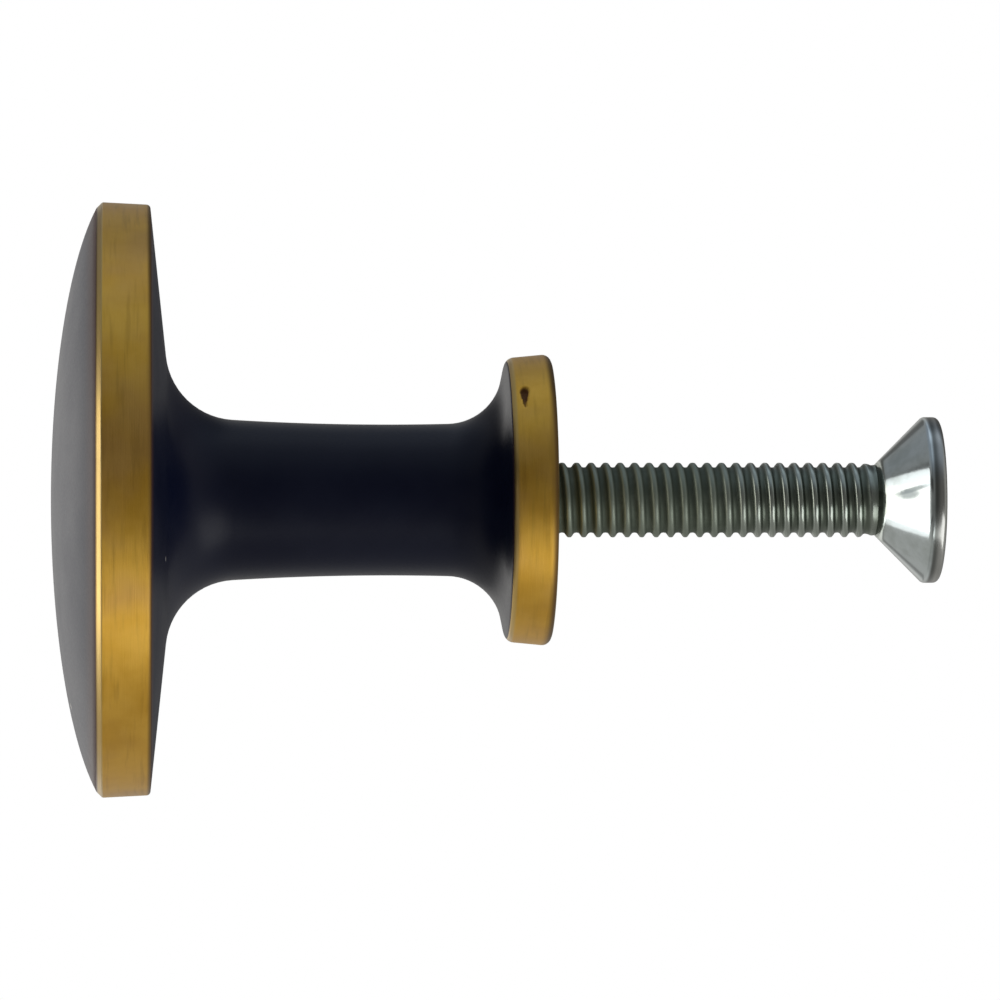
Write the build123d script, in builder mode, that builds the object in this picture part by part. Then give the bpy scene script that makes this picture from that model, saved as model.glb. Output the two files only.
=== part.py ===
"""Round cabinet knob with its fixing screw, in millimetres.

The knob is turned from one piece of brass: a shallow dome on a drafted rim, a shallow cone behind the
head, a waisted stem and a round foot with a blind tapped hole. A countersunk machine screw stands in the
hole, with the length free that passes through a door or a drawer front.

Frame: the origin is the centre of the foot's seating face, on the front of the door. The knob stands out
along -Y, the screw runs into the door along +Y, and +Z is up the door. Profiles are drawn on the XY plane,
with X as the radius, and turned about Y.
"""

import os
from math import asin, degrees, radians, sin, sqrt, tan

from build123d import *

# Head, which the fingers pull
head_diameter = 28.5  # over the front of the rim
body_length = 23.95  # seating face to the top of the dome
dome_height = 2.18  # top of the dome to its edge
dome_overrun = 1.4  # the dome's ellipse closes this far outside its edge
rim_width = 2.56  # edge of the dome to the back of the rim
rim_bevel = 0.28
rim_draft = 2.8  # degrees, the rim narrows towards the stem
rim_back_chamfer = 0.18
back_slope = 6.0  # degrees, the shallow cone behind the head

# Stem, a long hollow curve between two fillets
waist_diameter = 7.25  # at the thinnest place
waist_height = 7.9  # seating face to the thinnest place
stem_curve = 122.0  # radius of the hollow curve
neck_fillet = 3.4  # stem to head
foot_fillet = 2.7  # stem to foot, less where a narrow foot has no room for it

# Foot, which seats on the door
foot_diameter = 14.05
foot_width = 2.12  # seating face to the front corner of the edge
foot_slope = 12.0  # degrees, the face on the stem's side
foot_draft = 5.5  # degrees, the edge narrows towards the stem
foot_front_chamfer = 0.4
foot_seat_chamfer = 0.35

# Fixing screw, M4 with a 90 degree countersunk head; the thread is drawn plain
thread_diameter = 3.9  # over the crests
thread_clearance = 0.05  # crests to the wall of the tapped hole
screw_length = 25.0  # tip to the end of the head
screw_reach = 18.75  # seating face to the end of the head
screw_head_diameter = 8.0
screw_head_angle = 90.0  # degrees, the whole cone
screw_head_land = 0.77  # the short straight edge of the head
screw_head_chamfer = 0.12  # on both edges of the land
screw_tip_chamfer = 0.6

# Cross recess in the end of the screw's head
recess_span = 4.6  # across the wings at the face
recess_wing = 1.0  # thickness of a wing
recess_core = 2.0  # diameter of the round middle
recess_floor = 2.3  # span of the wings at the bottom
recess_depth = 2.3

# Tapped hole in the foot
hole_spare = 2.6  # empty hole past the screw's tip
hole_point_angle = 118.0  # degrees, left by the drill
hole_mouth = 0.35  # chamfer at the seating face

head_radius = head_diameter / 2
foot_radius = foot_diameter / 2
waist_radius = waist_diameter / 2
shank_radius = thread_diameter / 2
screw_head_radius = screw_head_diameter / 2
hole_radius = shank_radius + thread_clearance

os.makedirs("parts", exist_ok=True)


def corner(sketch, radius, along):
    """The vertex of a half profile that is nearest to a place on it."""
    return sketch.vertices().sort_by_distance((radius, along))[0]


def stem_radius(along):
    """Radius of the stem's hollow curve at a distance along the axis, fillets left out."""
    return waist_radius + stem_curve - sqrt(stem_curve**2 - (along + waist_height) ** 2)


# The knob: head, stem and foot are three faces of one half profile, turned together
dome_top = -body_length
dome_edge = dome_top + dome_height
rim_back = dome_edge + rim_width
dome_radius = head_radius - rim_bevel
dome_half_width = dome_radius + dome_overrun
dome_half_height = dome_height / (1 - sqrt(1 - (dome_radius / dome_half_width) ** 2))
dome_sweep = degrees(asin(dome_radius / dome_half_width))
rim_back_radius = head_radius - (rim_width - rim_bevel) * tan(radians(rim_draft))
back_rise = tan(radians(back_slope))
back_centre = rim_back + rim_back_radius * back_rise
foot_front_radius = foot_radius - foot_width * tan(radians(foot_draft))
foot_centre = -foot_width - foot_front_radius * tan(radians(foot_slope))
neck_along = rim_back + (rim_back_radius - waist_radius) * back_rise
instep_along = -foot_width - (foot_front_radius - waist_radius) * tan(radians(foot_slope))
instep_room = (foot_front_radius - foot_front_chamfer - waist_radius) / (1 - sin(radians(foot_slope)))

# The hole's half profile, from its mouth to the point that the drill leaves
screw_tip = screw_reach - screw_length
hole_bottom = screw_tip - hole_spare
hole_point = hole_bottom - hole_radius / tan(radians(hole_point_angle / 2))

with BuildPart() as knob_body:
    with BuildSketch(Plane.XY) as section:
        with BuildLine():
            dome = EllipticalCenterArc(
                (0, dome_top + dome_half_height),
                dome_half_width,
                dome_half_height,
                start_angle=-90,
                arc_size=dome_sweep,
            )
            Polyline(
                dome @ 1,
                (head_radius, dome_edge + rim_bevel),
                (rim_back_radius, rim_back),
                (0, back_centre),
                dome @ 0,
            )
        make_face()
        with BuildLine():
            hollow = ThreePointArc(
                (stem_radius(rim_back), rim_back), (waist_radius, -waist_height), (stem_radius(0), 0)
            )
            Polyline(hollow @ 1, (0, 0), (0, rim_back), hollow @ 0)
        make_face()
        with BuildLine():
            Polyline(
                (0, foot_centre), (foot_front_radius, -foot_width), (foot_radius, 0), (0, 0), close=True
            )
        make_face()
        fillet(corner(section, waist_radius, neck_along), radius=neck_fillet)
        fillet(corner(section, waist_radius, instep_along), radius=min(foot_fillet, instep_room))
        chamfer(corner(section, rim_back_radius, rim_back), length=rim_back_chamfer)
        chamfer(corner(section, foot_front_radius, -foot_width), length=foot_front_chamfer)
        chamfer(corner(section, foot_radius, 0), length=foot_seat_chamfer)
    revolve(axis=Axis.Y)
    with BuildSketch(Plane.XY):
        with BuildLine():
            Polyline(
                (0, 0),
                (hole_radius + hole_mouth, 0),
                (hole_radius, -hole_mouth),
                (hole_radius, hole_bottom),
                (0, hole_point),
                close=True,
            )
        make_face()
    revolve(axis=Axis.Y, mode=Mode.SUBTRACT)
knob_body.part.label = "knob_body"

# The cross recess: two crossed wings and a round core, cut to a cone that narrows with depth
head_end = Plane(origin=(0, screw_reach, 0), x_dir=(1, 0, 0), z_dir=(0, 1, 0))
recess_bottom = screw_reach - recess_depth

with BuildPart() as cross_recess:
    with BuildSketch(head_end):
        Rectangle(recess_span, recess_wing)
        Rectangle(recess_wing, recess_span)
        Circle(recess_core / 2)
    extrude(amount=-recess_depth)
    with BuildSketch(Plane.XY):
        with BuildLine():
            Polyline(
                (0, screw_reach),
                (recess_span / 2, screw_reach),
                (recess_floor / 2, recess_bottom),
                (0, recess_bottom),
                close=True,
            )
        make_face()
    revolve(axis=Axis.Y, mode=Mode.INTERSECT)

# The screw: tip, plain shank, cone and land in one half profile
land_start = screw_reach - screw_head_land
cone_start = land_start - (screw_head_radius - shank_radius) / tan(radians(screw_head_angle / 2))

with BuildPart() as fixing_screw:
    with BuildSketch(Plane.XY) as outline:
        with BuildLine():
            Polyline(
                (0, screw_tip),
                (shank_radius - screw_tip_chamfer, screw_tip),
                (shank_radius, screw_tip + screw_tip_chamfer),
                (shank_radius, cone_start),
                (screw_head_radius, land_start),
                (screw_head_radius, screw_reach),
                (0, screw_reach),
                close=True,
            )
        make_face()
        chamfer(corner(outline, screw_head_radius, land_start), length=screw_head_chamfer)
        chamfer(corner(outline, screw_head_radius, screw_reach), length=screw_head_chamfer)
    revolve(axis=Axis.Y)
    add(cross_recess.part, mode=Mode.SUBTRACT)
fixing_screw.part.label = "fixing_screw"

export_step(knob_body.part, "parts/knob_body.step")
export_step(fixing_screw.part, "parts/fixing_screw.step")
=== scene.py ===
"""Studio scene of a round cabinet knob with its fixing screw.

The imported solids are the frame: the origin is the centre of the foot's seating face, the knob stands out
along -Y, the screw runs along +Y and +Z is up the door. The knob and the screw are turned again here with
rounded edges, a cut thread and their finishes, and stand for the solids. Lengths are in metres and angles
in radians.
"""

import logging
from collections.abc import Mapping, Sequence
from dataclasses import dataclass
from enum import Enum
from math import acos, asin, atan2, ceil, cos, hypot, pi, radians, sin, sqrt, tan
from typing import Any, Union

import bmesh
import bpy
from mathutils import Matrix, Vector


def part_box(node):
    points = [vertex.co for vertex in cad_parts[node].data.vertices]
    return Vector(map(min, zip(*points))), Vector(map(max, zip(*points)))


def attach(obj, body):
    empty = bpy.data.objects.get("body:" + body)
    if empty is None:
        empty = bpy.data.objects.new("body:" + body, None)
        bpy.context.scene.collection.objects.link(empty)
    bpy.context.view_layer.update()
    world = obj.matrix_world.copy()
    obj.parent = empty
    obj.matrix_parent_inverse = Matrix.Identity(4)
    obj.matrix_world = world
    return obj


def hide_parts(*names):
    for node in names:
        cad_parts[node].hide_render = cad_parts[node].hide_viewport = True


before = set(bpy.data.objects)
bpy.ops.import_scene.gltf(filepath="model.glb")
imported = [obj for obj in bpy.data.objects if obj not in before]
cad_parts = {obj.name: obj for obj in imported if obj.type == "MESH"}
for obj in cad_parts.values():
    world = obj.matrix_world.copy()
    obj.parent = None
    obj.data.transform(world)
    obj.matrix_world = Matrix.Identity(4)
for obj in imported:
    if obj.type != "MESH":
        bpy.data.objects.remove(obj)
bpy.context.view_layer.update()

Point = tuple[float, float]
Place = tuple[float, float, float]
Colour = tuple[float, float, float]
Ring = Sequence[bmesh.types.BMVert]
Operand = Union[float, "Wire"]

MM = 0.001
BODY = "root"
FULL_TURN = 2 * pi
QUARTER_TURN = pi / 2

# A piece is turned about its own Z, which this turn lays along the part's Y
LATHE_TURN = (-QUARTER_TURN, 0.0, 0.0)
ACROSS_AXIS = (1.0, 1.0, 0.0)
ORIGIN = (0.0, 0.0, 0.0)
WHITE = (1.0, 1.0, 1.0)
NOISE_MIDDLE = 0.5

# Sockets of a Mix node that mixes colours, by number
MIX_SHARE = 0
MIX_FIRST = 6
MIX_SECOND = 7
MIX_RESULT = 2

# Rounded corners: chords of a round, and where its straight runs get a point, in tangent lengths
ROUND_STEPS = 6
ROUND_LEAD = 1.25

# Meshes: how far over its length a run stays undivided, as a share, and points this close become one
RUN_SLACK = 0.001
MERGE_DISTANCE = 1e-4 * MM

# Lamps: what the large ones look at, and the small cards beside the foot
LAMP_TARGET = (0.0, -6.0 * MM, 0.0)
CARD_ALONG = 0.4 * MM
CARD_LOOKS_AT = 1.0
CARD_RADIANCE = 0.5
CARD_SPREAD = radians(90.0)

log = logging.getLogger("cabinet_knob")


class Finish(Enum):
    """Finishes of the knob, in the order of its material slots."""

    BLACK = 0
    BRASS = 1
    SEAT = 2


class Wire:
    """A socket of a node sheet. Sums, products and powers of wires add Math nodes."""

    def __init__(self, sheet: "NodeSheet", socket: bpy.types.NodeSocket) -> None:
        """Keeps the socket and the sheet that its node stands on."""
        self.sheet = sheet
        self.socket = socket

    def other(self, name: str) -> "Wire":
        """Another output of the same node, by its name."""
        return Wire(self.sheet, self.socket.node.outputs[name])

    def __add__(self, value: Operand) -> "Wire":
        """This value plus another."""
        return self.sheet.math("ADD", self, value)

    __radd__ = __add__

    def __sub__(self, value: Operand) -> "Wire":
        """This value less another."""
        return self.sheet.math("SUBTRACT", self, value)

    def __rsub__(self, value: Operand) -> "Wire":
        """Another value less this one."""
        return self.sheet.math("SUBTRACT", value, self)

    def __mul__(self, value: Operand) -> "Wire":
        """This value times another."""
        return self.sheet.math("MULTIPLY", self, value)

    __rmul__ = __mul__

    def __truediv__(self, value: Operand) -> "Wire":
        """This value divided by another."""
        return self.sheet.math("DIVIDE", self, value)

    def __pow__(self, value: Operand) -> "Wire":
        """This value to a power."""
        return self.sheet.math("POWER", self, value)

    def __abs__(self) -> "Wire":
        """This value without its sign."""
        return self.sheet.math("ABSOLUTE", self)

    def at_least(self, value: Operand) -> "Wire":
        """The larger of this value and another."""
        return self.sheet.math("MAXIMUM", self, value)

    def swing(self, reach: float) -> "Wire":
        """How far this noise lies from its middle, times a reach."""
        return (self - NOISE_MIDDLE) * reach

    def ramp(self, start: float, end: float) -> "Wire":
        """Smooth step from 0 at start to 1 at end; start may lie above end.

        Args:
            start: the value at which the step leaves 0.
            end: the value at which the step reaches 1.

        Returns:
            The step as a wire between 0 and 1.
        """
        if start > end:
            return 1 - self.ramp(end, start)
        limits = {"Value": self, "From Min": start, "From Max": end}
        return self.sheet.node("ShaderNodeMapRange", {"interpolation_type": "SMOOTHSTEP"}, limits)


@dataclass(frozen=True)
class Step:
    """A smooth step of a value: where it starts, where it ends and how high it is."""

    start: float
    end: float
    height: float = 1.0

    def of(self, value: Wire) -> Wire:
        """The step of a value, from 0 to its height."""
        return value.ramp(self.start, self.end) * self.height


class NodeSheet:
    """The nodes of one material or of the world, added by the methods below."""

    def __init__(self, tree: bpy.types.NodeTree) -> None:
        """Takes a node tree and empties it."""
        self.tree = tree
        self.tree.nodes.clear()

    def node(
        self,
        kind: str,
        settings: Mapping[str, Any] | None = None,
        sockets: Mapping[str | int, Any] | None = None,
        output: str | int = 0,
    ) -> Wire:
        """Adds a node, with its settings first and its sockets after them.

        Args:
            kind: the node's type.
            settings: properties of the node by name.
            sockets: values or wires by the name or the number of the input socket.
            output: the name or the number of the output that is wanted.

        Returns:
            The wanted output, or the first input of a node that has no output.
        """
        node = self.tree.nodes.new(kind)
        for name, value in (settings or {}).items():
            setattr(node, name, value)
        for key, value in (sockets or {}).items():
            if isinstance(value, Wire):
                self.tree.links.new(value.socket, node.inputs[key])
            else:
                self.set_value(node.inputs[key], value)
        return Wire(self, node.outputs[output] if node.outputs else node.inputs[0])

    @staticmethod
    def set_value(socket: bpy.types.NodeSocket, value: Any) -> None:
        """Sets a socket's own value; a colour of three numbers is made opaque."""
        opaque = socket.type == "RGBA" and len(value) == len(WHITE)
        socket.default_value = (*value, 1.0) if opaque else value

    def math(self, operation: str, first: Operand, second: Operand = 0.0) -> Wire:
        """One Math node on two values."""
        return self.node("ShaderNodeMath", {"operation": operation}, {0: first, 1: second})

    def vector(self, operation: str, first: Any, second: Any, output: str = "Vector") -> Wire:
        """One Vector Math node on two vectors."""
        return self.node("ShaderNodeVectorMath", {"operation": operation}, {0: first, 1: second}, output)

    def mix(self, share: Operand, first: Any, second: Any) -> Wire:
        """Mixes two colours or their wires; a share of 1 shows the second alone."""
        colours = {MIX_SHARE: share, MIX_FIRST: first, MIX_SECOND: second}
        return self.node("ShaderNodeMix", {"data_type": "RGBA"}, colours, MIX_RESULT)

    def place(self) -> Wire:
        """The place on the piece, in metres, in the piece's own frame."""
        return self.node("ShaderNodeTexCoord", output="Object")

    def coordinate(self, place: Wire, axis: str) -> Wire:
        """One coordinate of a place, by the name of its axis."""
        return self.node("ShaderNodeSeparateXYZ", None, {"Vector": place}, axis)

    def radius(self, place: Wire) -> Wire:
        """Distance of a place from the part's axis, in metres."""
        return self.vector("LENGTH", self.vector("MULTIPLY", place, ACROSS_AXIS), ORIGIN, "Value")

    def unrolled(self, place: Wire, turn: float, along: float) -> tuple[Wire, Wire]:
        """Rolls a turned surface out flat about a middle on it.

        Args:
            place: the place on the piece.
            turn: the middle's turn round the axis.
            along: the middle's place along the axis.

        Returns:
            How far the place lies from the middle round the axis, and how far along it.
        """
        across = self.coordinate(place, "X")
        turned = self.math("ARCTAN2", 0.0 - across.other("Y"), across) - turn
        return turned * self.radius(place), across.other("Z") - along

    def bump(self, height: Wire, depth: float) -> Wire:
        """A normal bent by a height from 0 to 1 that stands for a depth in metres."""
        return self.node("ShaderNodeBump", None, {"Distance": depth, "Height": height})

    def surface(self, **sockets: Any) -> None:
        """Adds the Principled shader and the output.

        Args:
            sockets: values or wires by the socket's name, with an underscore for each space.
        """
        named = {name.replace("_", " "): value for name, value in sockets.items()}
        shader = self.node("ShaderNodeBsdfPrincipled", None, named)
        self.node("ShaderNodeOutputMaterial", None, {"Surface": shader})


@dataclass(frozen=True)
class Noise:
    """Cloudy noise: how many clouds a metre holds across and along the axis, and its finer layers."""

    across: float
    along: float
    layers: float = 3.0
    roughness: float = 0.55

    def at(self, sheet: NodeSheet, place: Wire) -> Wire:
        """Reads the noise.

        Args:
            sheet: the nodes of a finish.
            place: where the noise is read.

        Returns:
            Values about 0.5, between 0 and 1.
        """
        stretched = sheet.vector("MULTIPLY", place, (self.across, self.across, self.along))
        sockets = {"Vector": stretched, "Scale": 1.0, "Detail": self.layers, "Roughness": self.roughness}
        return sheet.node("ShaderNodeTexNoise", None, sockets)


@dataclass(frozen=True)
class Spot:
    """A round spot: its turn and its place along the axis, the surface's radius there, its size and core."""

    turn: float
    along: float
    radius: float
    size: float
    core: float = 0.5

    def mask(self, sheet: NodeSheet, place: Wire) -> Wire:
        """Where the spot is, from 0 outside to 1 in its core."""
        middle = tuple(on_turn(self.radius, self.along, self.turn))
        return sheet.vector("DISTANCE", place, middle, "Value").ramp(self.size, self.core * self.size)


@dataclass(frozen=True)
class PaintedReflection:
    """A dark mark on a turned surface, long along the axis: a painted reflection.

    Its fields are the turn and the place along the axis of its middle, its half length, its half width, how
    far it climbs round the axis for each metre along it, how ragged it is and how it fades out.
    """

    turn: float
    along: float
    half_length: float
    half_width: float
    slant: float
    ragged: float = 0.9
    fade: Step = Step(1.5, 0.1)

    def mask(self, sheet: NodeSheet, place: Wire, noise: Wire) -> Wire:
        """Finds the painted reflection on the surface.

        Args:
            sheet: the nodes of the finish.
            place: the place on the piece.
            noise: what makes its edge ragged.

        Returns:
            The mask, from 0 outside to 1 inside.
        """
        up, side = sheet.unrolled(place, self.turn, self.along)
        up = (up - side * self.slant) / self.half_width
        side = side / self.half_length
        return self.fade.of(up * up + side * side + noise.swing(self.ragged))


@dataclass(frozen=True)
class BlackFinish:
    """Blue-black satin finish on brass, browner where it thins out beside the bare bands.

    The instep, between the stem and the foot's edge, is measured in widths of the foot.
    """

    name: str = "blue_black_finish"
    dark: Colour = (0.0018, 0.0036, 0.0180)
    pale: Colour = (0.0055, 0.0080, 0.0240)
    thin: Colour = (0.0850, 0.0360, 0.0200)
    chip: Colour = (0.5200, 0.5000, 0.4600)
    chips: tuple[Spot, ...] = (
        Spot(turn=radians(-69.7), along=-22.96 * MM, radius=10.418 * MM, size=0.20 * MM),
        Spot(turn=radians(-21.8), along=-18.49 * MM, radius=7.43 * MM, size=0.15 * MM),
    )
    clouds: Noise = Noise(240.0, 240.0, layers=4.0)
    grain: Noise = Noise(7000.0, 7000.0, layers=2.0)
    grain_depth: float = 0.0030 * MM
    pale_clouds: Step = Step(0.3, 0.7)
    thin_width: float = 0.40 * MM
    thin_behind: float = 1.60 * MM
    thin_least: float = 0.45
    thin_clouds: float = 0.50
    roughness: float = 0.38
    cloud_roughness: float = 0.14
    grain_roughness: float = 0.10
    bevel_roughness: float = 0.20
    instep_roughness: Step = Step(-2.5, -1.2, height=0.02)
    refraction: float = 1.29

    def make(self, knob: "KnobBody") -> bpy.types.Material:
        """Makes the material.

        Args:
            knob: the knob, for the places of its bare bands.

        Returns:
            The finished material.
        """
        material, sheet = new_material(self.name)
        place = sheet.place()
        along = sheet.coordinate(place, "Z")
        radius = sheet.radius(place)
        clouds = self.clouds.at(sheet, place)
        grain = self.grain.at(sheet, place)
        by_bevel = radius.ramp(knob.dome_radius - self.thin_width, knob.dome_radius)
        by_rim = radius.ramp(knob.rim_back_radius - self.thin_behind, knob.rim_back_radius)
        by_foot = radius.ramp(knob.foot_front_radius - self.thin_width, knob.foot_front_radius)
        by_foot = by_foot * along.ramp(-knob.waist_height, -knob.foot_width)
        by_band = by_bevel.at_least(by_rim).at_least(by_foot)
        colour = sheet.mix(self.pale_clouds.of(clouds), self.dark, self.pale)
        colour = sheet.mix(by_band * (self.thin_least + clouds * self.thin_clouds), colour, self.thin)
        for chip in self.chips:
            colour = sheet.mix(chip.mask(sheet, place), colour, self.chip)
        rough = self.roughness + clouds.swing(self.cloud_roughness) + grain.swing(self.grain_roughness)
        rough = rough + by_bevel * self.bevel_roughness + self.instep_roughness.of(along / knob.foot_width)
        sheet.surface(
            Base_Color=colour,
            Roughness=rough,
            Normal=sheet.bump(grain, self.grain_depth),
            IOR=self.refraction,
        )
        return material


@dataclass(frozen=True)
class BareBrass:
    """Bare brass, brushed round the axis and a little tarnished, with a painted highlight on its polished
    edges.
    """

    name: str = "bare_brushed_brass"
    bright: Colour = (0.880, 0.550, 0.100)
    dull: Colour = (0.670, 0.365, 0.036)
    rosy: Colour = (0.600, 0.350, 0.130)
    tarnish: Colour = (0.260, 0.140, 0.022)
    stain: Colour = (0.110, 0.058, 0.024)
    # Pale edge colour: polished brass with a painted highlight on it
    worn_highlight: Colour = (0.580, 0.430, 0.175)
    in_pit: Colour = (0.150, 0.056, 0.004)
    streak: Noise = Noise(240.0, 3000.0, layers=4.0, roughness=0.6)
    hair: Noise = Noise(480.0, 30000.0, layers=2.0, roughness=0.6)
    stroke: Noise = Noise(300.0, 3800.0, layers=2.0, roughness=0.5)
    mottle: Noise = Noise(420.0, 420.0, layers=4.0)
    blotch: Noise = Noise(150.0, 150.0)
    bright_mottle: Step = Step(0.3, 0.7, height=0.5)
    bright_streaks: float = 0.5
    rosy_blotches: Step = Step(0.46, 0.66, height=0.55)
    tarnished_strokes: Step = Step(0.50, 0.27, height=0.20)
    streak_depth: float = 0.0040 * MM
    hair_depth: float = 0.0060 * MM
    worn_highlight_width: float = 0.05 * MM
    foot_worn_highlight_width: float = 0.14 * MM
    foot_worn_highlight: float = 0.9
    worn_highlight_least: float = 0.5
    worn_highlight_streaks: float = 0.5
    dome_stain_share: float = 0.40
    back_stain_width: float = 0.22 * MM
    back_stain: float = 0.80
    seat_stain_width: float = 0.46 * MM
    seat_stain_end: float = 0.2
    seat_stain: float = 0.85
    roughness: float = 0.50
    streak_roughness: float = 0.16
    mottle_roughness: float = 0.12
    worn_highlight_polish: float = 0.22
    pit_roughness: float = 0.30
    spread: float = 0.70
    brushed_turn: float = 0.25
    lacquer: float = 0.12
    lacquer_roughness: float = 0.40

    def worn_highlit_edges(self, knob: "KnobBody", along: Wire) -> Wire:
        """Where handling has polished the brass edges, which are paled further by a painted highlight.

        Args:
            knob: the knob, for the places of its edges.
            along: the place along the axis.

        Returns:
            The mask of the rim's bevel and of the foot's front edge.
        """
        bevel_end = knob.dome_edge + knob.rim_bevel
        on_bevel = along.ramp(bevel_end + self.worn_highlight_width, bevel_end)
        foot_edge = -knob.foot_width
        on_foot = along.ramp(foot_edge + 2 * self.foot_worn_highlight_width, foot_edge + self.foot_worn_highlight_width)
        on_foot = on_foot * along.ramp(foot_edge - self.foot_worn_highlight_width, foot_edge)
        return on_bevel.at_least(on_foot * self.foot_worn_highlight)

    def stained_edges(self, knob: "KnobBody", along: Wire) -> Wire:
        """Where the dark finish has run over the edges of the brass.

        Args:
            knob: the knob, for the places of its edges.
            along: the place along the axis.

        Returns:
            The mask of the edges by the dome, at the back of the rim and by the seating face.
        """
        by_dome = along.ramp(knob.dome_edge + self.dome_stain_share * knob.rim_bevel, knob.dome_edge)
        by_back = along.ramp(knob.rim_back - self.back_stain_width, knob.rim_back)
        by_back = by_back * along.ramp(knob.rim_back + knob.rim_width, knob.rim_back)
        by_seat = along.ramp(-self.seat_stain_width, -self.seat_stain_end * self.seat_stain_width)
        return by_dome.at_least(by_back * self.back_stain).at_least(by_seat * self.seat_stain)

    def make(self, knob: "KnobBody") -> bpy.types.Material:
        """Makes the material.

        Args:
            knob: the knob, for its polished edges with their painted highlight and the pit in the foot's
                edge, which is dark inside.

        Returns:
            The finished material.
        """
        material, sheet = new_material(self.name)
        place = sheet.place()
        along = sheet.coordinate(place, "Z")
        streak = self.streak.at(sheet, place)
        mottle = self.mottle.at(sheet, place)
        brightness = self.bright_mottle.of(mottle) + streak * self.bright_streaks
        colour = sheet.mix(brightness, self.dull, self.bright)
        colour = sheet.mix(self.rosy_blotches.of(self.blotch.at(sheet, place)), colour, self.rosy)
        colour = sheet.mix(self.tarnished_strokes.of(self.stroke.at(sheet, place)), colour, self.tarnish)
        # Painted highlight: the polished bevel and foot edge are paled towards white
        worn_highlight = self.worn_highlit_edges(knob, along) * (self.worn_highlight_least + streak * self.worn_highlight_streaks)
        colour = sheet.mix(worn_highlight, colour, self.worn_highlight)
        colour = sheet.mix(self.stained_edges(knob, along), colour, self.stain)
        hollow = knob.pit.mask(sheet, place)
        colour = sheet.mix(hollow, colour, self.in_pit)
        rough = self.roughness + streak.swing(self.streak_roughness) + mottle.swing(self.mottle_roughness)
        brushed = streak * (self.streak_depth / self.hair_depth) + self.hair.at(sheet, place)
        sheet.surface(
            Base_Color=colour,
            Metallic=1 - hollow,
            Roughness=rough - worn_highlight * self.worn_highlight_polish + hollow * self.pit_roughness,
            Anisotropic=self.spread,
            Anisotropic_Rotation=self.brushed_turn,
            Coat_Weight=self.lacquer,
            Coat_Roughness=self.lacquer_roughness,
            Normal=sheet.bump(brushed, self.hair_depth),
        )
        return material


@dataclass(frozen=True)
class TurnedSeat:
    """The seating face as the lathe leaves it: bare brass with fine rings."""

    name: str = "turned_seat"
    pale: Colour = (0.680, 0.470, 0.160)
    dull: Colour = (0.500, 0.320, 0.080)
    rings: Noise = Noise(14000.0, 1.0, roughness=0.6)
    mottle: Noise = Noise(500.0, 500.0, layers=4.0)
    pale_rings: float = 0.5
    pale_mottle: float = 0.5
    ring_depth: float = 0.0030 * MM
    roughness: float = 0.34
    mottle_roughness: float = 0.14

    def make(self) -> bpy.types.Material:
        """Makes the material.

        Returns:
            The finished material.
        """
        material, sheet = new_material(self.name)
        place = sheet.place()
        outwards = sheet.node("ShaderNodeCombineXYZ", None, {"X": sheet.radius(place)})
        rings = self.rings.at(sheet, outwards)
        mottle = self.mottle.at(sheet, place)
        sheet.surface(
            Base_Color=sheet.mix(rings * self.pale_rings + mottle * self.pale_mottle, self.dull, self.pale),
            Metallic=1.0,
            Roughness=self.roughness + mottle.swing(self.mottle_roughness),
            Normal=sheet.bump(rings, self.ring_depth),
        )
        return material


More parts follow.
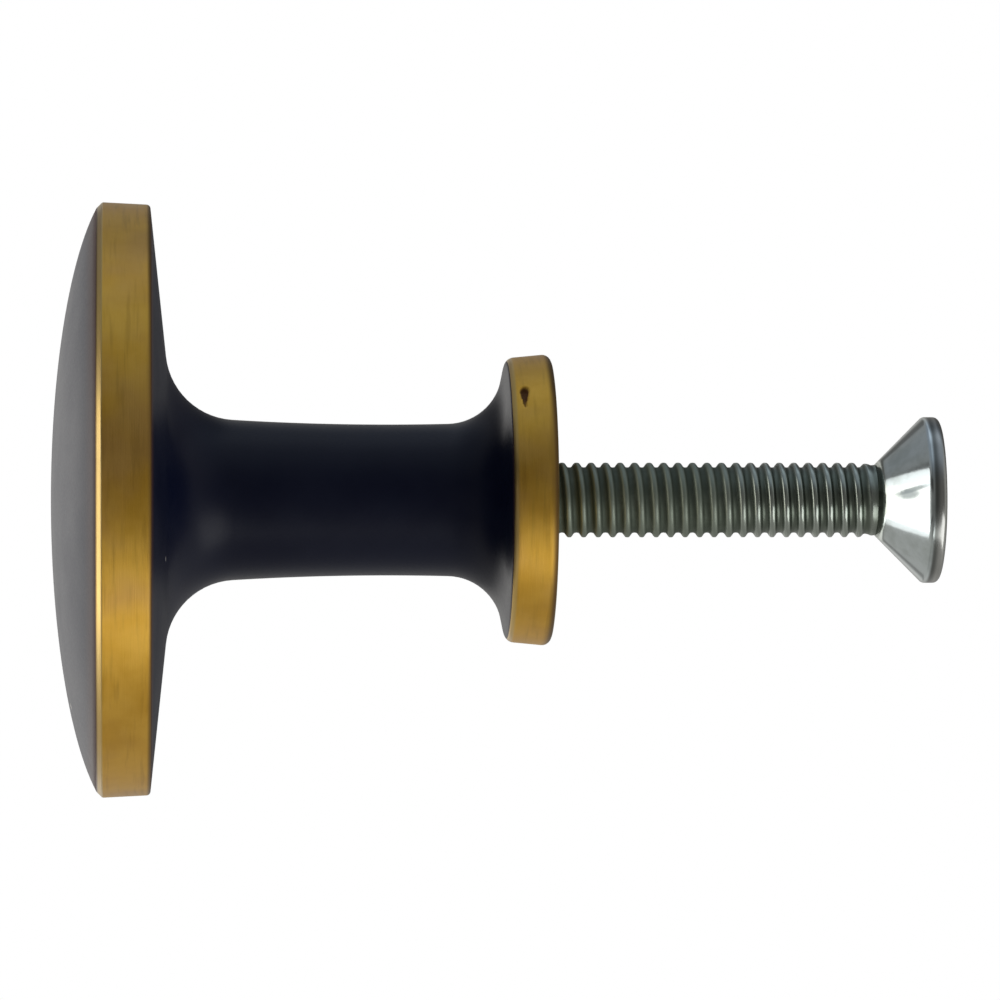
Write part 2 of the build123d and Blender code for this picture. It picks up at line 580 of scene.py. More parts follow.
@dataclass(frozen=True)
class PlatedSteel:
    """Bright plating on the screw: a mirror on the head's cone, duller and greener on the thread."""

    name: str = "bright_plated_steel"
    bright: Colour = (0.600, 0.655, 0.655)
    # Thread colour, darker than the cone's: partly dirt on the plating, partly painted shade of the grooves
    thread: Colour = (0.248, 0.284, 0.234)
    # Lighter thread colour by the head: a painted highlight, where the plating is also smoother
    polished_highlit: Colour = (0.365, 0.404, 0.360)
    # Painted shade: darker colour in the thread's roots, where the grooves lie in shade
    root: Colour = (0.092, 0.112, 0.086)
    # Painted reflection: dark colour for the dull-looking marks on the mirror cone
    painted_reflection: Colour = (0.130, 0.155, 0.165)
    land: Colour = (0.170, 0.180, 0.170)
    land_end: Colour = (0.420, 0.425, 0.405)
    clouds: Noise = Noise(700.0, 700.0, layers=4.0)
    scuff: Noise = Noise(5200.0, 5200.0)
    scuff_depth: float = 0.0008 * MM
    dull_clouds: Step = Step(0.45, 0.75, height=0.35)
    shank_over: float = 0.25 * MM
    shank_under: float = 0.15 * MM
    crest_under: float = 0.03 * MM
    root_over: float = 0.08 * MM
    root_shade_share: float = 0.85
    polished_highlit_along: Step = Step(7.0 * MM, 11.0 * MM)
    # Painted reflections: dark marks on the mirror cone that stand for dark reflections, not dirt on the
    # plating
    painted_reflections: tuple[PaintedReflection, ...] = (
        PaintedReflection(radians(9.0), 17.15 * MM, half_length=0.72 * MM, half_width=0.13 * MM, slant=0.16),
        PaintedReflection(radians(5.2), 17.00 * MM, half_length=0.48 * MM, half_width=0.26 * MM, slant=0.0),
    )
    painted_reflection_share: float = 0.8
    on_land: Step = Step(0.08 * MM, 0.22 * MM)
    on_land_end: Step = Step(0.25 * MM, 0.50 * MM)
    roughness: float = 0.11
    thread_roughness: float = 0.54
    polished_highlit_roughness: float = 0.22
    root_roughness: float = 0.16
    land_roughness: float = 0.10
    cloud_roughness: float = 0.10
    scuff_roughness: float = 0.06

    def make(self, screw: "FixingScrew") -> bpy.types.Material:
        """Makes the material.

        Args:
            screw: the screw, for the places of its thread and its head.

        Returns:
            The finished material.
        """
        material, sheet = new_material(self.name)
        place = sheet.place()
        along = sheet.coordinate(place, "Z")
        radius = sheet.radius(place)
        clouds = self.clouds.at(sheet, place)
        scuff = self.scuff.at(sheet, place)
        shank = along.ramp(screw.cone_start + self.shank_over, screw.cone_start - self.shank_under)
        # Painted shade in the thread's roots
        low = radius.ramp(screw.crest_radius - self.crest_under, screw.root_radius + self.root_over) * shank
        # Painted highlight: the thread turns lighter towards the head, where it is also smoother
        polished_highlit = self.polished_highlit_along.of(along)
        colour = sheet.mix(shank, self.bright, sheet.mix(polished_highlit, self.thread, self.polished_highlit))
        colour = sheet.mix(low * self.root_shade_share, colour, self.root)
        colour = sheet.mix(self.dull_clouds.of(clouds), colour, self.thread)
        # Painted reflections on the cone
        for painted_reflection in self.painted_reflections:
            colour = sheet.mix(painted_reflection.mask(sheet, place, scuff) * self.painted_reflection_share, colour, self.painted_reflection)
        past_cone = along - screw.land_start
        land = self.on_land.of(past_cone)
        land_colour = sheet.mix(self.on_land_end.of(past_cone), self.land, self.land_end)
        colour = sheet.mix(land, colour, land_colour)
        thread_rough = self.thread_roughness - polished_highlit * (self.thread_roughness - self.polished_highlit_roughness)
        rough = self.roughness + shank * (thread_rough - self.roughness)
        rough = rough + low * self.root_roughness + land * self.land_roughness
        rough = rough + clouds.swing(self.cloud_roughness) + scuff.swing(self.scuff_roughness)
        sheet.surface(
            Base_Color=colour,
            Metallic=1.0,
            Roughness=rough,
            Normal=sheet.bump(scuff, self.scuff_depth),
        )
        return material


@dataclass(frozen=True)
class PaleFloor:
    """Pale studio floor that keeps a soft shadow near the part and fades out into the white backdrop."""

    name: str = "pale_floor"
    colour: Colour = (0.86, 0.86, 0.86)
    speckled: Colour = (0.80, 0.80, 0.80)
    speckle: Noise = Noise(400.0, 400.0)
    speckle_share: float = 0.04
    least_white: float = 0.62
    fade: Step = Step(0.16, 0.38)

    def make(self) -> bpy.types.Material:
        """Makes the material.

        Returns:
            The finished material.
        """
        material, sheet = new_material(self.name)
        place = sheet.place()
        tint = sheet.mix(self.speckle.at(sheet, place) * self.speckle_share, self.colour, self.speckled)
        matt = {"Base Color": tint, "Roughness": 1.0, "Specular IOR Level": 0.0}
        pale = sheet.node("ShaderNodeBsdfPrincipled", None, matt)
        white = sheet.node("ShaderNodeEmission", None, {"Color": WHITE, "Strength": 1.0})
        path = sheet.node("ShaderNodeLightPath", output="Is Camera Ray")
        seen = path + path.other("Is Glossy Ray") + path.other("Is Transmission Ray")
        distance = sheet.vector("LENGTH", place, ORIGIN, "Value")
        whiteness = self.fade.of(distance).at_least(self.least_white) * seen
        shader = sheet.node("ShaderNodeMixShader", None, {0: whiteness, 1: pale, 2: white})
        sheet.node("ShaderNodeOutputMaterial", None, {"Surface": shader})
        return material


def new_material(name: str) -> tuple[bpy.types.Material, NodeSheet]:
    """Starts a material.

    Args:
        name: the material's name.

    Returns:
        The new material and its empty sheet of nodes.
    """
    material = bpy.data.materials.new(name)
    material.use_nodes = True
    return material, NodeSheet(material.node_tree)


def on_turn(radius: float, along: float, turn: float) -> Vector:
    """A place in a piece's own frame, with a turn from the part's +X towards its +Z."""
    return Vector((radius * cos(turn), -radius * sin(turn), along))


def between(start: Point, end: Point, share: float) -> Point:
    """The point that lies a share of the way from one point to another."""
    return start[0] + (end[0] - start[0]) * share, start[1] + (end[1] - start[1]) * share


def rounded(path: Sequence[Point], radii: Sequence[float]) -> list[Point]:
    """Rounds the inner corners of a path of straight runs.

    Args:
        path: the corners, with both ends of the path.
        radii: the radius of each inner corner.

    Returns:
        The points of the rounded path, with a point close to each round on either side of it.
    """
    points: list[Point] = [path[0]]
    for before, corner, after, radius in zip(path, path[1:], path[2:], radii):
        here = Vector(corner)
        back = (Vector(before) - here).normalized()
        ahead = (Vector(after) - here).normalized()
        half = acos(max(-1.0, min(1.0, back.dot(ahead)))) / 2
        reach = radius / tan(half)
        centre = here + (back + ahead).normalized() * (radius / sin(half))
        spoke = here + back * reach - centre
        sweep = pi - 2 * half if back.cross(ahead) < 0 else 2 * half - pi
        points.append(tuple(here + back * (reach * ROUND_LEAD)))
        for step in range(ROUND_STEPS + 1):
            points.append(tuple(centre + Matrix.Rotation(sweep * step / ROUND_STEPS, 2) @ spoke))
        points.append(tuple(here + ahead * (reach * ROUND_LEAD)))
    points.append(path[-1])
    return points


def arc(centre: Point, radius: float, start: float, end: float, steps: int) -> list[Point]:
    """Points of a circular arc between two angles, both ends included."""
    angles = [start + (end - start) * step / steps for step in range(steps + 1)]
    return [(centre[0] + radius * cos(angle), centre[1] + radius * sin(angle)) for angle in angles]


def divided(points: Sequence[Point], longest: float) -> list[Point]:
    """Adds points to a path.

    Args:
        points: the path.
        longest: how long a run may be.

    Returns:
        The same path, with no run longer than that.
    """
    path: list[Point] = [points[0]]
    for start, end in zip(points, points[1:]):
        length = hypot(end[0] - start[0], end[1] - start[1])
        pieces = max(1, ceil(length / longest - RUN_SLACK))
        path += [between(start, end, piece / pieces) for piece in range(1, pieces + 1)]
    return path


class TurnedMesh:
    """A mesh made of rings of points round the axis, closed at both ends."""

    def __init__(self, columns: int) -> None:
        """Starts an empty mesh whose rings all have the same number of points."""
        self.columns = columns
        self.mesh = bmesh.new()

    def ring(self, places: Sequence[Vector]) -> list[bmesh.types.BMVert]:
        """Adds a ring of points."""
        return [self.mesh.verts.new(place) for place in places]

    def face(self, corners: Ring, slot: int = 0) -> None:
        """Adds one face with a material slot."""
        self.mesh.faces.new(corners).material_index = slot

    def join(self, first: Ring, second: Ring, slot: int = 0) -> None:
        """Joins two rings with faces.

        Args:
            first: one ring.
            second: the other ring.
            slot: the faces' material slot.
        """
        for column in range(self.columns):
            after = (column + 1) % self.columns
            self.face((first[column], first[after], second[after], second[column]), slot)

    def cap(self, ring: Ring, middle: Vector, slot: int = 0) -> None:
        """Closes a ring with triangles.

        Args:
            ring: the ring.
            middle: the point in which the triangles meet.
            slot: the triangles' material slot.
        """
        tip = self.mesh.verts.new(middle)
        for column in range(self.columns):
            self.face((ring[column], ring[(column + 1) % self.columns], tip), slot)

    def finish(self, name: str, materials: Sequence[bpy.types.Material]) -> bpy.types.Object:
        """Cleans the mesh, smooths it and puts it into the scene.

        Args:
            name: the name of the piece.
            materials: the materials, in the order of the faces' slots.

        Returns:
            The new object.
        """
        bmesh.ops.remove_doubles(self.mesh, verts=self.mesh.verts[:], dist=MERGE_DISTANCE)
        bmesh.ops.recalc_face_normals(self.mesh, faces=self.mesh.faces[:])
        for face in self.mesh.faces:
            face.smooth = True
        data = bpy.data.meshes.new(name)
        self.mesh.to_mesh(data)
        self.mesh.free()
        for material in materials:
            data.materials.append(material)
        piece = bpy.data.objects.new(name, data)
        piece.rotation_euler = LATHE_TURN
        bpy.context.scene.collection.objects.link(piece)
        bpy.context.view_layer.update()
        return piece


def put_on(piece: bpy.types.Object, node: str) -> None:
    """Lets a piece ride on the part in place of a solid.

    Args:
        piece: the piece.
        node: the solid's node.
    """
    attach(piece, BODY)
    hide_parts(node)


@dataclass(frozen=True)
class EdgePit:
    """A small drop-shaped casting pit in the foot's bare edge, with its tail pointing down.

    Its wall and its dark inside are given in shares of its half width, its dark tail in shares of the tail.
    """

    turn: float = radians(48.5)
    along: float = -1.52 * MM
    half_width: float = 0.22 * MM
    head_stretch: float = 1.6
    tail: float = 1.12 * MM
    depth: float = 0.24 * MM
    wall_top: float = 1.1
    wall_width: float = 0.5
    dark: Step = Step(1.05, 0.75)
    dark_tail: Step = Step(0.0, 0.75)
    least_room: float = 0.001
    seam: float = 0.001 * MM

    @property
    def half_height(self) -> float:
        """Half the height of the drop's round head."""
        return self.head_stretch * self.half_width

    def mask(self, sheet: NodeSheet, place: Wire) -> Wire:
        """Where the pit is on the foot's edge.

        Args:
            sheet: the nodes of the edge's finish.
            place: the place on the knob.

        Returns:
            The mask, from 0 outside to 1 inside, soft at the pit's rim.
        """
        up, side = sheet.unrolled(place, self.turn, self.along)
        side = abs(side) / self.half_width
        room = 1 + up / self.tail
        head = ((up / self.half_height) ** 2 + side**2) ** 0.5
        tail = side / room.at_least(self.least_room)
        below = up.ramp(self.seam, -self.seam)
        return self.dark.of(head * (1 - below) + tail * below) * self.dark_tail.of(room)

    def depth_at(self, radius: float, along: float, turn: float) -> float:
        """How far the pit sinks below the foot's edge.

        Args:
            radius: the edge's radius.
            along: the place along the axis.
            turn: the place round the axis.

        Returns:
            The depth, which is 0 outside the pit.
        """
        up = (turn - self.turn) * radius
        side = abs(along - self.along) / self.half_width
        if up > 0:
            away = hypot(up / self.half_height, side)
        else:
            away = side / max(self.least_room, 1 + up / self.tail)
        inside = max(0.0, min(1.0, (self.wall_top - away) / self.wall_width))
        return self.depth * inside * inside * (3 - 2 * inside)


@dataclass
class KnobBody:
    """The turned knob: domed head, bare rim, waisted stem and foot with a bare edge."""

    head_radius: float
    body_length: float
    dome_height: float = 2.18 * MM
    dome_overrun: float = 1.40 * MM
    rim_width: float = 2.56 * MM
    rim_bevel: float = 0.28 * MM
    rim_draft: float = radians(2.8)
    rim_back_round: float = 0.20 * MM
    edge_round: float = 0.06 * MM
    bevel_round: float = 0.14 * MM
    back_slope: float = radians(6.0)
    waist_radius: float = 3.625 * MM
    waist_height: float = 7.90 * MM
    stem_curve: float = 122.0 * MM
    neck_fillet: float = 3.40 * MM
    foot_fillet: float = 2.70 * MM
    foot_radius: float = 7.025 * MM
    foot_width: float = 2.12 * MM
    foot_slope: float = radians(12.0)
    foot_draft: float = radians(5.5)
    foot_front_round: float = 0.45 * MM
    foot_seat_round: float = 0.40 * MM
    hole_radius: float = 2.0 * MM
    hole_mouth: float = 0.35 * MM
    hole_bottom: float = -8.85 * MM
    hole_point_angle: float = radians(118.0)
    pit: EdgePit = EdgePit()
    rim_bare: float = 0.6
    foot_bare: float = 0.34
    seat_turned: float = 0.1
    columns: int = 192
    dome_steps: int = 26
    fillet_steps: int = 14
    hollow_steps: int = 16
    pit_steps_below: int = 16
    pit_steps_above: int = 12
    longest_face: float = 0.8 * MM
    edge_face: float = 0.07 * MM

    @property
    def dome_edge(self) -> float:
        """Where the dome ends, along the axis."""
        return self.dome_height - self.body_length

    @property
    def dome_radius(self) -> float:
        """Radius at the edge of the dome, inside the bevel."""
        return self.head_radius - self.rim_bevel

    @property
    def rim_back(self) -> float:
        """Where the rim ends behind, along the axis."""
        return self.dome_edge + self.rim_width

    @property
    def rim_back_radius(self) -> float:
        """Radius of the rim at its back corner."""
        return self.head_radius - (self.rim_width - self.rim_bevel) * tan(self.rim_draft)

    @property
    def foot_front_radius(self) -> float:
        """Radius of the foot at its front corner."""
        return self.foot_radius - self.foot_width * tan(self.foot_draft)

    def dome(self) -> list[Point]:
        """Draws the elliptical dome.

        Returns:
            Points of the half section, from the dome's top to its edge.
        """
        half_width = self.dome_radius + self.dome_overrun
        half_height = self.dome_height / (1 - sqrt(1 - (self.dome_radius / half_width) ** 2))
        sweep = asin(self.dome_radius / half_width)
        angles = [sweep * step / self.dome_steps for step in range(self.dome_steps + 1)]
        return [(half_width * sin(a), half_height * (1 - cos(a)) - self.body_length) for a in angles]

    def fillet_centre(self, corner: Point, slope: float, radius: float) -> Point:
        """Finds the centre of a fillet between the hollow stem and a cone that faces it.

        Args:
            corner: a point of the cone.
            slope: the cone's slope; it is below 0 for a cone that faces the head.
            radius: the fillet's radius.

        Returns:
            The centre, at the radius's distance from both.
        """
        side = 1.0 if slope > 0 else -1.0
        rise = -tan(slope)
        level = corner[1] + side * radius / cos(slope) - rise * corner[0]
        middle = self.waist_radius + self.stem_curve
        drop = level + self.waist_height
        square = 1 + rise**2
        linear = rise * drop - middle
        rest = middle**2 + drop**2 - (self.stem_curve - radius) ** 2
        across = (-linear - sqrt(linear**2 - square * rest)) / square
        return across, level + rise * across

    def stem(self) -> list[Point]:
        """Draws the stem with both its fillets.

        Returns:
            Points of the half section, from the cone behind the head to the foot's.
        """
        head_back = (self.rim_back_radius, self.rim_back)
        foot_front = (self.foot_front_radius, -self.foot_width)
        hollow = (self.waist_radius + self.stem_curve, -self.waist_height)
        neck = self.fillet_centre(head_back, self.back_slope, self.neck_fillet)
        instep = self.fillet_centre(foot_front, -self.foot_slope, self.foot_fillet)
        neck_turn = atan2(neck[1] - hollow[1], neck[0] - hollow[0]) % FULL_TURN
        instep_turn = atan2(instep[1] - hollow[1], instep[0] - hollow[0]) % FULL_TURN
        head_turn = 3 * QUARTER_TURN - self.back_slope
        foot_turn = QUARTER_TURN + self.foot_slope
        head_side = arc(neck, self.neck_fillet, head_turn, neck_turn, self.fillet_steps)
        middle = arc(hollow, self.stem_curve, neck_turn, instep_turn, self.hollow_steps)
        foot_side = arc(instep, self.foot_fillet, instep_turn, foot_turn, self.fillet_steps)
        return head_side + middle[1:-1] + foot_side

    def half_section(self) -> list[Point]:
        """Draws the whole half section.

        Returns:
            Its points, from the top of the dome to the point of the hole.
        """
        dome = self.dome()
        stem = self.stem()
        bevel_end = (self.head_radius, self.dome_edge + self.rim_bevel)
        rim_back = (self.rim_back_radius, self.rim_back)
        front = (self.foot_front_radius, -self.foot_width)
        corner = (self.foot_radius, 0.0)
        seat = (self.foot_radius - 2 * self.foot_seat_round, 0.0)
        mouth = (self.hole_radius + self.hole_mouth, 0.0)
        lip = (self.hole_radius, -self.hole_mouth)
        drilled = (self.hole_radius, self.hole_bottom)
        point = (0.0, self.hole_bottom - self.hole_radius / tan(self.hole_point_angle / 2))
        head_rounds = [self.edge_round, self.bevel_round, self.rim_back_round]
        head = rounded([dome[-2], dome[-1], bevel_end, rim_back, stem[0]], head_rounds)
        foot = rounded([stem[-1], front, corner, seat], [self.foot_front_round, self.foot_seat_round])
        hole = rounded([seat, mouth, lip, drilled, point], [self.edge_round] * 3)
        points = dome[:-2] + divided(head, self.longest_face) + stem[1:]
        return points + divided(foot, self.edge_face)[1:] + divided(hole, self.longest_face)[1:]

    def finish_at(self, radius: float, along: float) -> Finish:
        """Chooses the finish of the surface.

        Args:
            radius: the radius of a place on the half section.
            along: its place along the axis.

        Returns:
            The finish there.
        """
        on_rim = radius > self.rim_back_radius - self.rim_bare * self.rim_back_round
        on_foot = radius > self.foot_front_radius - self.foot_bare * self.foot_front_round
        on_seat = along > -self.seat_turned * self.foot_seat_round
        if on_rim or (on_foot and along > -self.waist_height and not on_seat):
            return Finish.BRASS
        return Finish.SEAT if on_seat else Finish.BLACK

    def turns(self) -> list[float]:
        """Spaces the columns of faces, closer together at the pit.

        Returns:
            The turns of the columns, in order.
        """
        even = [FULL_TURN * column / self.columns for column in range(self.columns)]
        reach = (self.pit.tail + self.pit.half_width) / self.foot_radius
        steps = range(-self.pit_steps_below, self.pit_steps_above)
        fine = [self.pit.turn + reach * step / self.pit_steps_below for step in steps]
        return sorted([turn for turn in even if not fine[0] <= turn <= fine[-1]] + fine)

    def on_surface(self, radius: float, along: float, turn: float) -> Vector:
        """A place on the knob, which is sunk in where the foot's edge has its pit."""
        on_edge = radius >= self.foot_front_radius and -self.foot_width < along < 0.0
        return on_turn(radius - (self.pit.depth_at(radius, along, turn) if on_edge else 0.0), along, turn)

    def dress(self) -> list[bpy.types.Material]:
        """The knob's materials, in the order of Finish."""
        return [BlackFinish().make(self), BareBrass().make(self), TurnedSeat().make()]

    def build(self) -> bpy.types.Object:
        """Builds the knob's mesh and dresses it.

        Returns:
            The knob, in place of its solid.
        """
        turns = self.turns()
        points = self.half_section()
        body = TurnedMesh(len(turns))
        rings = [body.ring([self.on_surface(*point, turn) for turn in turns]) for point in points[1:-1]]
        body.cap(rings[0], on_turn(*points[0], 0.0), Finish.BLACK.value)
        for place, (start, end) in enumerate(zip(points[1:], points[2:-1])):
            finish = self.finish_at(*between(start, end, 0.5))
            body.join(rings[place], rings[place + 1], finish.value)
        body.cap(rings[-1], on_turn(*points[-1], 0.0), Finish.BLACK.value)
        piece = body.finish("knob", self.dress())
        put_on(piece, "knob_body")
        return piece


@dataclass
class FixingScrew:
    """The countersunk screw, with a cut thread and a cross recess in the end of its head.

    The thread's form is half a pitch, from the middle of a crest to the middle of a root, as shares of the
    pitch and of the thread's depth.
    """

    head_radius: float
    tip: float
    reach: float
    crest_radius: float = 1.80 * MM
    thread_depth: float = 0.23 * MM
    pitch: float = 0.70 * MM
    thread_form: tuple[Point, ...] = (
        (0.0, 0.0),
        (0.08, 0.02),
        (0.14, 0.10),
        (0.20, 0.32),
        (0.30, 0.76),
        (0.37, 0.94),
        (0.50, 1.0),
    )
    spare_coils: int = 3
    neck_radius: float = 1.70 * MM
    neck_length: float = 0.25 * MM
    neck_round: float = 0.05 * MM
    run_out: float = 0.80 * MM
    tip_radius: float = 1.35 * MM
    shank_radius: float = 1.95 * MM
    head_land: float = 0.77 * MM
    edge_round: float = 0.26 * MM
    recess_half_span: float = 2.30 * MM
    recess_half_floor: float = 1.15 * MM
    recess_half_wing: float = 0.50 * MM
    recess_core: float = 1.0 * MM
    recess_depth: float = 2.30 * MM
    recess_point: float = 0.25 * MM
    recess_lip: float = 0.05 * MM
    recess_margin: float = 0.30 * MM
    recess_levels: tuple[float, ...] = (0.02, 0.35, 0.7, 1.0)
    recess_wall_steps: tuple[int, ...] = (5, 4, 5)
    recess_core_steps: int = 3
    columns: int = 80
    longest_face: float = 0.5 * MM

    @property
    def root_radius(self) -> float:
        """Radius at the bottom of the thread."""
        return self.crest_radius - self.thread_depth

    @property
    def land_start(self) -> float:
        """Where the head's cone ends and its straight edge starts."""
        return self.reach - self.head_land

    @property
    def cone_start(self) -> float:
        """Where the head's cone, of 45 degrees a side, leaves the shank."""
        return self.land_start - (self.head_radius - self.shank_radius)

    @property
    def thread_end(self) -> float:
        """Where the thread runs out under the head."""
        return self.cone_start - self.neck_length

    @property
    def turns(self) -> list[float]:
        """Turns of the columns of faces."""
        return [FULL_TURN * column / self.columns for column in range(self.columns)]

    def thread_rows(self) -> list[Point]:
        """One pitch of the thread, as rows of the share of the pitch and the radius."""
        rows = list(self.thread_form) + [(1 - place, sunk) for place, sunk in self.thread_form[-2:0:-1]]
        return [(place, self.crest_radius - sunk * self.thread_depth) for place, sunk in rows]

    def limited(self, radius: float, along: float) -> float:
        """Eases the thread into the tip's chamfer and the neck.

        Args:
            radius: the radius that the thread's form gives.
            along: the place along the axis.

        Returns:
            The radius of the screw there.
        """
        chamfer = self.tip_radius + (along - self.tip)
        fade = max(0.0, min(1.0, (along - self.thread_end + self.run_out) / self.run_out))
        return min(radius, chamfer) * (1 - fade) + self.neck_radius * fade

    def on_helix(self, radius: float, start: float, turn: float) -> Vector:
        """A place on a row of the thread, which is right-handed and is held between the tip and the neck."""
        along = min(self.thread_end, max(self.tip, start - self.pitch * turn / FULL_TURN))
        return on_turn(self.limited(radius, along), along, turn)

    def thread(self, body: TurnedMesh) -> None:
        """Adds the thread, as rows that follow the helix.

        Args:
            body: the screw's mesh.
        """
        turns = self.turns
        rows = self.thread_rows()
        coils = int((self.thread_end - self.tip) / self.pitch) + self.spare_coils
        grid: list[list[bmesh.types.BMVert]] = []
        for coil in range(coils):
            for share, radius in rows:
                start = self.tip + (coil + share) * self.pitch
                grid.append(body.ring([self.on_helix(radius, start, turn) for turn in turns]))
        for row, (low, high) in enumerate(zip(grid, grid[1:])):
            for column in range(self.columns - 1):
                body.face((low[column], low[column + 1], high[column + 1], high[column]))
            under = grid[max(0, row - len(rows))]
            above = grid[max(0, row + 1 - len(rows))]
            body.face(tuple(dict.fromkeys((low[-1], under[0], above[0], high[-1]))))

    def recess_outline(self, half_span: float, grown: float) -> list[Point]:
        """Draws the outline of the cross recess at one depth.

        Args:
            half_span: from the axis to the end of a wing.
            grown: how far the outline stands outside its own size.

        Returns:
            As many points (x, z) as a ring of the screw has, from the middle of a wing's end.
        """
        wing = self.recess_half_wing + grown
        core = self.recess_core + grown
        span = half_span + grown
        neck = asin(wing / core)
        root = core * cos(neck)
        eighth = QUARTER_TURN / 2
        quarter = arc((0.0, 0.0), core, -eighth, -neck, self.recess_core_steps)[:-1]
        corners = [(root, -wing), (span, -wing), (span, wing), (root, wing)]
        for start, end, steps in zip(corners, corners[1:], self.recess_wall_steps):
            quarter += [between(start, end, step / steps) for step in range(steps)]
        quarter += arc((0.0, 0.0), core, neck, eighth, self.recess_core_steps)[:-1]
        first = len(quarter) // 2
        points = list(quarter)
        for _ in range(3):
            quarter = [(-z, x) for x, z in quarter]
            points += quarter
        return points[first:] + points[:first]

    def head(self, body: TurnedMesh) -> None:
        """Adds the neck, the cone, the land, the end face and the recess.

        Args:
            body: the screw's mesh.
        """
        cone_foot = self.cone_start - (self.shank_radius - self.neck_radius)
        path = [
            (self.neck_radius, self.thread_end),
            (self.neck_radius, cone_foot),
            (self.head_radius, self.land_start),
            (self.head_radius, self.reach),
            (self.recess_half_span + self.recess_margin, self.reach),
        ]
        corners = rounded(path, [self.neck_round, self.edge_round, self.edge_round])
        turns = self.turns
        rings = []
        for radius, along in divided(corners, self.longest_face):
            rings.append(body.ring([on_turn(radius, along, turn) for turn in turns]))
        for share, grown in [(0.0, self.recess_lip)] + [(level, 0.0) for level in self.recess_levels]:
            span = self.recess_half_span + (self.recess_half_floor - self.recess_half_span) * share
            level = self.reach - self.recess_depth * share
            rings.append(body.ring([Vector((x, -z, level)) for x, z in self.recess_outline(span, grown)]))
        for first, second in zip(rings, rings[1:]):
            body.join(first, second)
        body.cap(rings[-1], on_turn(0.0, self.reach - self.recess_depth - self.recess_point, 0.0))

    def dress(self) -> list[bpy.types.Material]:
        """The screw's one material."""
        return [PlatedSteel().make(self)]

    def build(self) -> bpy.types.Object:
        """Builds the screw's mesh and dresses it.

        Returns:
            The screw, in place of its solid.
        """
        body = TurnedMesh(self.columns)
        tip_ring = body.ring([on_turn(self.tip_radius, self.tip, turn) for turn in self.turns])
        body.cap(tip_ring, on_turn(0.0, self.tip, 0.0))
        self.thread(body)
        self.head(body)
        piece = body.finish("screw", self.dress())
        put_on(piece, "fixing_screw")
        return piece


def aim(holder: bpy.types.Object, place: Place, target: Place) -> None:
    """Puts a lamp or a camera in its place, looking at a target."""
    holder.location = place
    holder.rotation_euler = (Vector(target) - Vector(place)).to_track_quat("-Z", "Y").to_euler()


@dataclass(frozen=True)
class SoftBox:
    """An oblong lamp that looks at a target and is hidden from the camera."""

    name: str
    place: Place
    target: Place
    width: float
    height: float
    radiance: float
    spread: float = pi

    def build(self) -> None:
        """Puts the lamp up."""
        lamp = bpy.data.lights.new(self.name, "AREA")
        lamp.shape = "RECTANGLE"
        lamp.size = self.width
        lamp.size_y = self.height
        lamp.energy = self.radiance * pi * self.width * self.height
        lamp.spread = self.spread
        holder = bpy.data.objects.new(self.name, lamp)
        aim(holder, self.place, self.target)
        holder.visible_camera = False
        bpy.context.scene.collection.objects.link(holder)


def card(name: str, across: float, up: float, width: float, height: float) -> SoftBox:
    """A small white card beside the foot that faces along the screw and shows in the cone of its head."""
    target = (across, CARD_LOOKS_AT, up)
    return SoftBox(name, (across, CARD_ALONG, up), target, width, height, CARD_RADIANCE, CARD_SPREAD)


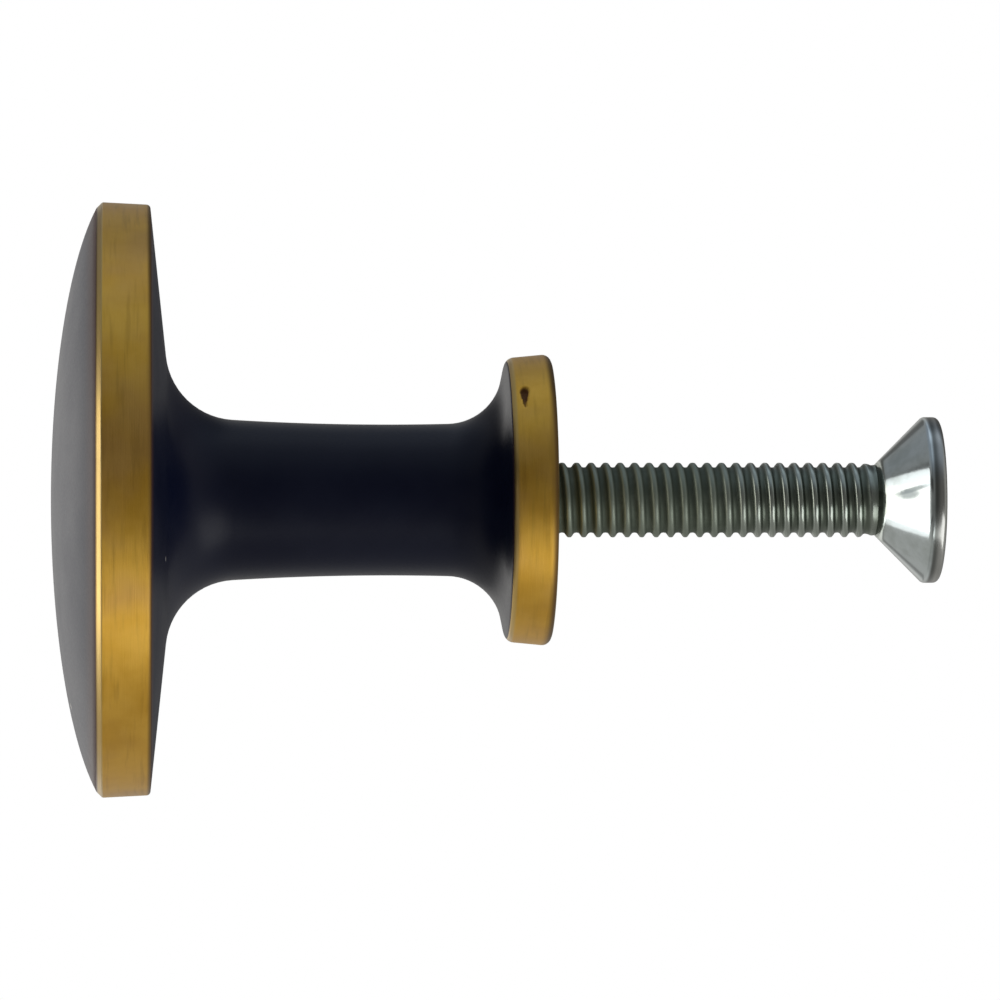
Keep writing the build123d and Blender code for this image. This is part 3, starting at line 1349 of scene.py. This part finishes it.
@dataclass(frozen=True)
class RoomLight:
    """The room round the part: white to the camera, and lit by direction for everything else.

    A direction points towards the camera (+X), across to the screw's side (+Y) and up (+Z). The wall is a
    white backdrop behind the head, which only mirrors show. The room is darker at the camera, in the corner
    behind the screw and in two tilted bands on the head's side, and lighter above and below.
    """

    name: str = "studio"
    level: float = 0.45
    colour: Colour = (1.0, 0.985, 0.955)
    sky: Colour = (0.76, 0.86, 1.0)
    sky_up: Step = Step(0.3, 0.9)
    wall: float = 1.7
    wall_bottom: Step = Step(-0.45, -0.25)
    wall_top: Step = Step(0.30, 0.10)
    wall_slant: float = 0.5
    wall_corner: Step = Step(0.08, -0.04)
    wall_across: Step = Step(0.0, -0.55)
    wall_behind: Step = Step(0.1, -0.3)
    corner_across: Step = Step(-0.05, 0.25, height=0.75)
    corner_behind: Step = Step(-0.1, -0.6)
    corner_low: Step = Step(0.10, -0.30, height=0.6)
    camera_side: Step = Step(0.35, 0.85, height=0.62)
    upper_band: Step = Step(0.10, 0.30)
    upper_band_end: Step = Step(0.455, 0.495, height=0.5)
    lower_band: Step = Step(-0.30, -0.40, height=0.75)
    lower_band_end: Step = Step(-0.45, -0.495, height=0.8)
    bands_across: Step = Step(-0.05, -0.25, height=0.68)
    below: Step = Step(-0.1, -0.6, height=0.2)
    straight_below: Step = Step(-0.75, -0.98, height=0.3)
    above: Step = Step(0.3, 0.9, height=0.2)
    overhead: Step = Step(0.86, 0.98, height=0.65)
    overhead_behind: Step = Step(0.15, -0.15)

    def strength(self, ray: Wire, mirrored: Wire) -> Wire:
        """How light it is in a direction.

        Args:
            ray: the direction.
            mirrored: 1 for what a mirror shows, and 0 for all else.

        Returns:
            The strength of the room, with the wall in it.
        """
        towards = ray.sheet.coordinate(ray, "X")
        across = towards.other("Y")
        up = towards.other("Z")
        corner = self.corner_across.of(across) * self.corner_behind.of(towards) * (1 - self.corner_low.of(up))
        shade = (1 - self.camera_side.of(towards)) * (1 - corner)
        upper = self.upper_band.of(up) * (1 - self.upper_band_end.of(up))
        lower = self.lower_band.of(up) * (1 - self.lower_band_end.of(up))
        bands = (upper + lower) * self.bands_across.of(across)
        lift = self.below.of(up) - self.straight_below.of(up) + self.above.of(up)
        lift = lift + self.overhead.of(up) * self.overhead_behind.of(towards)
        room = shade * (1 + lift) * (1 - bands) * self.level
        wall = self.wall_bottom.of(up) * self.wall_top.of(up) * self.wall_across.of(across)
        wall = wall * self.wall_corner.of(up + across * self.wall_slant) * self.wall_behind.of(towards)
        return room + wall * self.wall * (1 - room) * mirrored

    def make(self) -> bpy.types.World:
        """Makes the world.

        Returns:
            The world, with a strength of 1 where the camera sees it.
        """
        world = bpy.data.worlds.new(self.name)
        world.use_nodes = True
        sheet = NodeSheet(world.node_tree)
        ray = sheet.node("ShaderNodeTexCoord", output="Generated")
        path = sheet.node("ShaderNodeLightPath", output="Is Camera Ray")
        mirrored = path.other("Is Glossy Ray") + path.other("Is Transmission Ray")
        light = self.strength(ray, mirrored) * (1 - path) + path
        colour = sheet.mix(self.sky_up.of(sheet.coordinate(ray, "Z")), self.colour, self.sky)
        colour = sheet.mix(path, colour, WHITE)
        emitted = sheet.node("ShaderNodeBackground", None, {"Color": colour, "Strength": light})
        sheet.node("ShaderNodeOutputWorld", None, {"Surface": emitted})
        return world


@dataclass
class Studio:
    """Floor, room, lamps and camera."""

    camera_place: Place = (301.0 * MM, -20.4 * MM, 0.0)
    camera_target: Place = (0.0, -2.41 * MM, 0.0)
    camera_near: float = 10.0 * MM
    lens: float = 225.75
    floor_level: float = -60.0 * MM
    floor_radius: float = 400.0 * MM
    floor_sides: int = 96
    soft_boxes: tuple[SoftBox, ...] = (
        SoftBox("left_window", (-0.110, -0.450, -0.025), LAMP_TARGET, width=0.36, height=0.39, radiance=1.9),
        SoftBox("low_strip", (0.134, 0.130, -0.142), LAMP_TARGET, width=0.20, height=0.16, radiance=1.75),
        card("upper_card", across=3.0 * MM, up=6.0 * MM, width=8.0 * MM, height=6.8 * MM),
        card("middle_card", across=4.9 * MM, up=0.0, width=4.2 * MM, height=5.2 * MM),
        card("lower_card", across=2.0 * MM, up=-6.9 * MM, width=10.0 * MM, height=8.6 * MM),
    )

    def floor(self) -> bpy.types.Object:
        """Lays a round pale floor under the part.

        Returns:
            The floor.
        """
        mesh = bmesh.new()
        bmesh.ops.create_circle(mesh, cap_ends=True, segments=self.floor_sides, radius=self.floor_radius)
        data = bpy.data.meshes.new("floor")
        mesh.to_mesh(data)
        mesh.free()
        data.materials.append(PaleFloor().make())
        piece = bpy.data.objects.new("floor", data)
        piece.location = (0.0, 0.0, self.floor_level)
        piece.visible_glossy = False
        piece.visible_diffuse = False
        piece.visible_shadow = False
        bpy.context.scene.collection.objects.link(piece)
        return piece

    def camera(self) -> bpy.types.Object:
        """Sets the camera up beside the knob, at the height of its axis.

        Returns:
            The camera.
        """
        data = bpy.data.cameras.new("camera")
        data.lens = self.lens
        data.clip_start = self.camera_near
        holder = bpy.data.objects.new("camera", data)
        aim(holder, self.camera_place, self.camera_target)
        bpy.context.scene.collection.objects.link(holder)
        return holder

    def build(self) -> bpy.types.Object:
        """Builds the whole studio.

        Returns:
            The floor.
        """
        scene = bpy.context.scene
        scene.view_settings.view_transform = "Standard"
        scene.world = RoomLight().make()
        floor = self.floor()
        for box in self.soft_boxes:
            box.build()
        scene.camera = self.camera()
        return floor


def main() -> None:
    """Builds the knob, the screw and the studio, and reports each piece."""
    logging.basicConfig(level=logging.INFO, format="%(name)s: %(message)s")
    body_low, body_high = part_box("knob_body")
    screw_low, screw_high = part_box("fixing_screw")
    knob = KnobBody(head_radius=body_high.x, body_length=-body_low.y)
    screw = FixingScrew(head_radius=screw_high.x, tip=screw_low.y, reach=screw_high.y)
    for assembly in (knob, screw, Studio()):
        piece = assembly.build()
        log.info("%s: %d faces", piece.name, len(piece.data.polygons))


if __name__ == "__main__":
    main()
